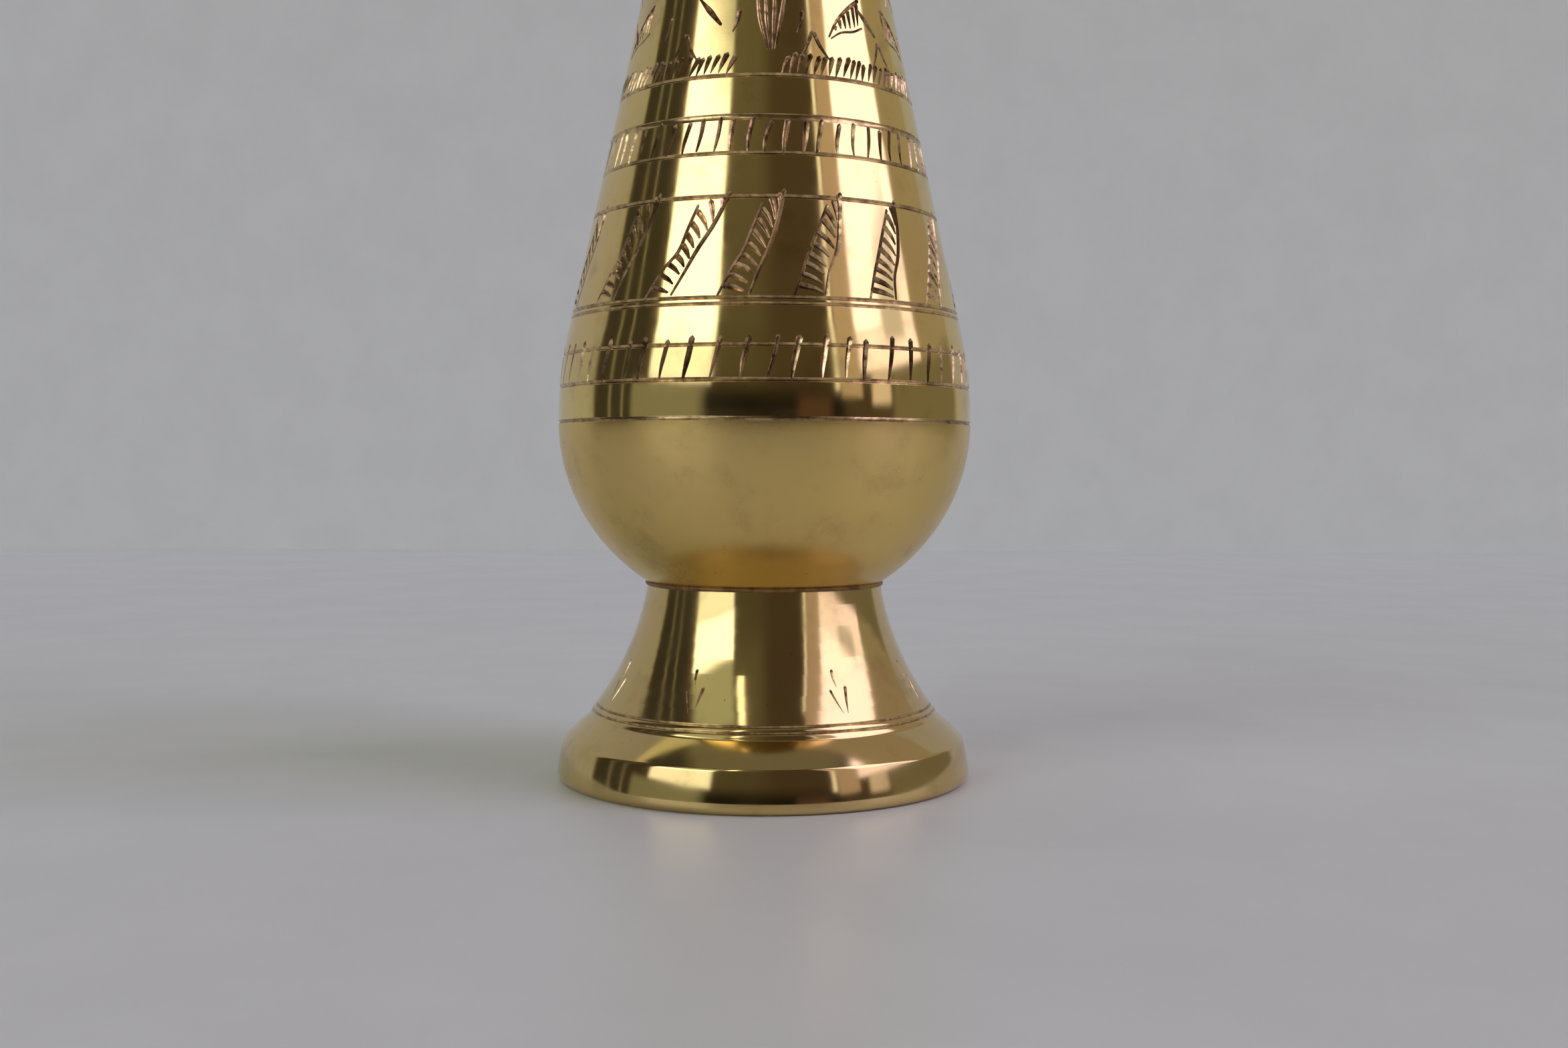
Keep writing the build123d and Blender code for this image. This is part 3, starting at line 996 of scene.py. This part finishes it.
mouth_loop += bead(collar_centre, COLLAR_BEAD, neck_in_angle - collar_open, neck_in_angle + collar_open, 10)
mouth_loop += [tuple(neck_inner - neck_up * TONGUE), tuple(neck_middle - neck_up * TONGUE)]
polished_count = outer_count + LIP_STEPS + 1
mouth_kinds = [INSET_FACE] * polished_count + [INSIDE] * (len(mouth_loop) - polished_count)
mouth_shell = revolve("mouth_shell", mouth_loop, mouth_kinds, SHELL_MATERIALS)
mouth_shell.data.polygons.foreach_set("use_smooth", [True] * len(mouth_shell.data.polygons))
mouth_shell.data.set_sharp_from_angle(angle=math.radians(SHARP_ANGLE))
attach(mouth_shell, "root")
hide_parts("trumpet_mouth")

# ---------------------------------------------------------------- solder bead round the waist
bead_rng = random.Random(19)
BEAD_STEPS = 360
BEAD_SIDES = 10
waves = [
    (k, bead_rng.uniform(0.2, 1.0) / k**0.45, bead_rng.uniform(0, 2 * math.pi))
    for k in (2, 3, 5, 8, 13, 21, 34, 55)
]


def bead_swell(angle, shift):
    return sum(size * math.sin(k * angle + phase + shift * k) for k, size, phase in waves) / 2.2


bead_verts, bead_faces = [], []
for i in range(BEAD_STEPS):
    a = 2 * math.pi * i / BEAD_STEPS
    thick = 0.36 + 0.085 * bead_swell(a, 0.0)
    drop = 0.05 * bead_swell(a, 1.3)
    for k in range(BEAD_SIDES):
        b = 2 * math.pi * k / BEAD_SIDES
        r = WAIST_R + 0.05 + thick * math.cos(b)
        z = WAIST_Z - 0.02 + drop + thick * math.sin(b)
        bead_verts.append((r * MM * math.sin(a), -r * MM * math.cos(a), z * MM))
for i in range(BEAD_STEPS):
    j = (i + 1) % BEAD_STEPS
    for k in range(BEAD_SIDES):
        n = (k + 1) % BEAD_SIDES
        bead_faces.append((i * BEAD_SIDES + k, j * BEAD_SIDES + k, j * BEAD_SIDES + n, i * BEAD_SIDES + n))
bead_mesh = bpy.data.meshes.new("waist_bead")
bead_mesh.from_pydata(bead_verts, [], bead_faces)
bead_mesh.polygons.foreach_set("use_smooth", [True] * len(bead_faces))
bead_mesh.materials.append(solder)
waist_bead = bpy.data.objects.new("waist_bead", bead_mesh)
bpy.context.scene.collection.objects.link(waist_bead)
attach(waist_bead, "root")
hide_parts("foot_solder_bead")

for name in ("girdle_solder_ring", "neck_solder_ring"):
    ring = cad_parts[name]
    ring.data.materials.clear()
    ring.data.materials.append(solder)

# ---------------------------------------------------------------- floor and wall
FLOOR_HALF = 3.0
WALL_PLACE = 0.69
WALL_LEFT, WALL_RIGHT = -2.2, 0.80
WALL_LOW, WALL_HIGH = -0.05, 2.2


def pale_surface(name, tone, rough, gloss):
    """Pale paint with a faint mottle. rough is (smoothest, roughest)."""
    material, tree, shader, place = new_material(name)
    mottle = noise(tree, place, 26.0, 5.0, 0.6)
    lighter = colour(tone[0] * 1.02, tone[1] * 1.02, tone[2] * 1.02)
    darker = colour(tone[0] * 0.98, tone[1] * 0.98, tone[2] * 0.98)
    tree.links.new(mix_colour(tree, ramp(tree, mottle, 0.3, 0.7), lighter, darker), shader.inputs["Base Color"])
    tree.links.new(ramp(tree, mottle, 0.2, 0.8, *rough), shader.inputs["Roughness"])
    shader.inputs["Specular IOR Level"].default_value = gloss
    tree.links.new(bump(tree, noise(tree, place, 700.0, 3.0, 0.6), 1.0e-5), shader.inputs["Normal"])
    return material


def sheet(name, corners, material):
    """A flat part of the room."""
    mesh = bpy.data.meshes.new(name)
    mesh.from_pydata(corners, [], [(0, 1, 2, 3)])
    mesh.materials.append(material)
    obj = bpy.data.objects.new(name, mesh)
    bpy.context.scene.collection.objects.link(obj)


sheet(
    "floor",
    [
        (-FLOOR_HALF, -FLOOR_HALF, 0),
        (FLOOR_HALF, -FLOOR_HALF, 0),
        (FLOOR_HALF, WALL_PLACE, 0),
        (-FLOOR_HALF, WALL_PLACE, 0),
    ],
    pale_surface("pale_floor", (0.745, 0.775, 0.745), (0.36, 0.44), 0.4),
)
sheet(
    "wall",
    [
        (WALL_LEFT, WALL_PLACE, WALL_LOW),
        (WALL_RIGHT, WALL_PLACE, WALL_LOW),
        (WALL_RIGHT, WALL_PLACE, WALL_HIGH),
        (WALL_LEFT, WALL_PLACE, WALL_HIGH),
    ],
    pale_surface("pale_wall", (0.90, 0.93, 0.89), (0.50, 0.60), 0.2),
)

# ---------------------------------------------------------------- light
# A room with two large soft windows: directions are degrees from -Y towards +X, and above the horizon.
world = bpy.data.worlds.new("studio")
bpy.context.scene.world = world
world.use_nodes = True
sky = world.node_tree
sky.nodes.clear()
way = add_node(sky, "ShaderNodeSeparateXYZ", {0: sky.nodes.new("ShaderNodeTexCoord").outputs["Generated"]})
towards_camera = maths(sky, "MULTIPLY", way.outputs["Y"], -1.0)
azimuth = maths(sky, "DEGREES", maths(sky, "ARCTAN2", way.outputs["X"], towards_camera))
elevation = maths(sky, "DEGREES", maths(sky, "ARCSINE", way.outputs["Z"]))


def panel(across, up, soft):
    """1 inside a panel of the surroundings, 0 outside it."""
    value = ramp(sky, azimuth, across[0] - soft, across[0] + soft)
    value = maths(sky, "MULTIPLY", value, ramp(sky, azimuth, across[1] + soft, across[1] - soft))
    value = maths(sky, "MULTIPLY", value, ramp(sky, elevation, up[0] - soft, up[0] + soft))
    return maths(sky, "MULTIPLY", value, ramp(sky, elevation, up[1] + soft, up[1] - soft))


ROOM = [
    # azimuths, elevations, softness, colour
    ((-180, -107), (-90, 90), 3.0, (0.64, 0.62, 0.43)),
    ((131, 180), (-90, 90), 5.0, (0.58, 0.57, 0.49)),
    ((98, 131), (-90, 90), 2.5, (0.34, 0.30, 0.245)),
    ((-107, -72), (-5, 70), 2.0, (0.048, 0.044, 0.036)),
    ((-94, -92), (-2, 50), 0.8, (0.22, 0.22, 0.18)),
    ((-84, -83), (-2, 50), 0.7, (0.34, 0.34, 0.28)),
    ((-107, 98), (66, 90), 3.0, (0.19, 0.18, 0.15)),
    ((-31, 0), (8, 30), 9.0, (0.095, 0.085, 0.055)),
    ((-31, 0), (30, 70), 9.0, (0.13, 0.12, 0.085)),
    ((-66, -29), (21, 38), 1.5, (2.6, 2.65, 2.85)),
    ((-66, -29), (10, 21), 1.5, (1.5, 1.55, 1.65)),
    ((-66, -29), (38, 60), 3.0, (0.48, 0.52, 0.42)),
    ((-77, -31), (-4, 10), 2.0, (0.24, 0.25, 0.20)),
    ((-34, 44), (-50, 9), 5.0, (0.014, 0.012, 0.010)),
    ((18, 36), (-12, 7), 3.0, (0.085, 0.050, 0.040)),
    ((38, 40.5), (8, 55), 0.8, (1.2, 1.15, 1.25)),
    ((41.5, 54), (6, 60), 1.0, (0.50, 0.40, 0.38)),
    ((54, 98), (24, 62), 1.2, (2.0, 1.8, 2.55)),
    ((54, 98), (13, 24), 1.2, (1.5, 1.32, 1.8)),
    ((60, 72), (4, 13), 1.4, (0.75, 0.66, 0.70)),
    ((73, 89), (20, 27), 2.0, (0.70, 0.66, 0.80)),
    ((74, 129), (-5, 13), 2.0, (0.19, 0.175, 0.13)),
    ((-25, -19), (44, 62), 1.5, (2.6, 2.5, 2.3)),
]
light = colour(0.074, 0.056, 0.041)
for spread, rise, soft, glow in ROOM:
    light = mix_colour(sky, panel(spread, rise, soft), light, colour(*glow))
glow_node = add_node(sky, "ShaderNodeBackground", {"Color": light, "Strength": 1.0})
plain_node = add_node(sky, "ShaderNodeBackground", {"Color": colour(0.40, 0.405, 0.41), "Strength": 1.0})
seen = sky.nodes.new("ShaderNodeLightPath").outputs["Is Camera Ray"]
blended = add_node(sky, "ShaderNodeMixShader", {0: seen, 1: glow_node.outputs[0], 2: plain_node.outputs[0]})
sky_out = sky.nodes.new("ShaderNodeOutputWorld")
sky.links.new(blended.outputs[0], sky_out.inputs[0])

# ---------------------------------------------------------------- camera
FOCAL_SHARE = 2400 / 2346          # focal length over the picture's width
CAMERA_PLACE = Vector((0.0, -0.2622, GIRDLE_Z * MM - 0.0067))
PITCH, YAW, ROLL = (math.radians(a) for a in (2.10, 0.70, 0.25))
camera_data = bpy.data.cameras.new("camera")
camera_data.sensor_width = 36.0
camera_data.lens = 36.0 * FOCAL_SHARE
camera_data.clip_start = 0.005
camera_data.clip_end = 20.0
camera = bpy.data.objects.new("camera", camera_data)
bpy.context.scene.collection.objects.link(camera)
forward = Vector((math.sin(YAW) * math.cos(PITCH), math.cos(YAW) * math.cos(PITCH), -math.sin(PITCH)))
level_right = Vector((math.cos(YAW), -math.sin(YAW), 0.0))
level_up = level_right.cross(forward)
right = level_right * math.cos(ROLL) + level_up * math.sin(ROLL)
up = level_up * math.cos(ROLL) - level_right * math.sin(ROLL)
camera.matrix_world = Matrix((
    (right.x, up.x, -forward.x, CAMERA_PLACE.x),
    (right.y, up.y, -forward.y, CAMERA_PLACE.y),
    (right.z, up.z, -forward.z, CAMERA_PLACE.z),
    (0, 0, 0, 1),
))
bpy.context.scene.camera = camera
bpy.context.scene.view_settings.view_transform = "Standard"
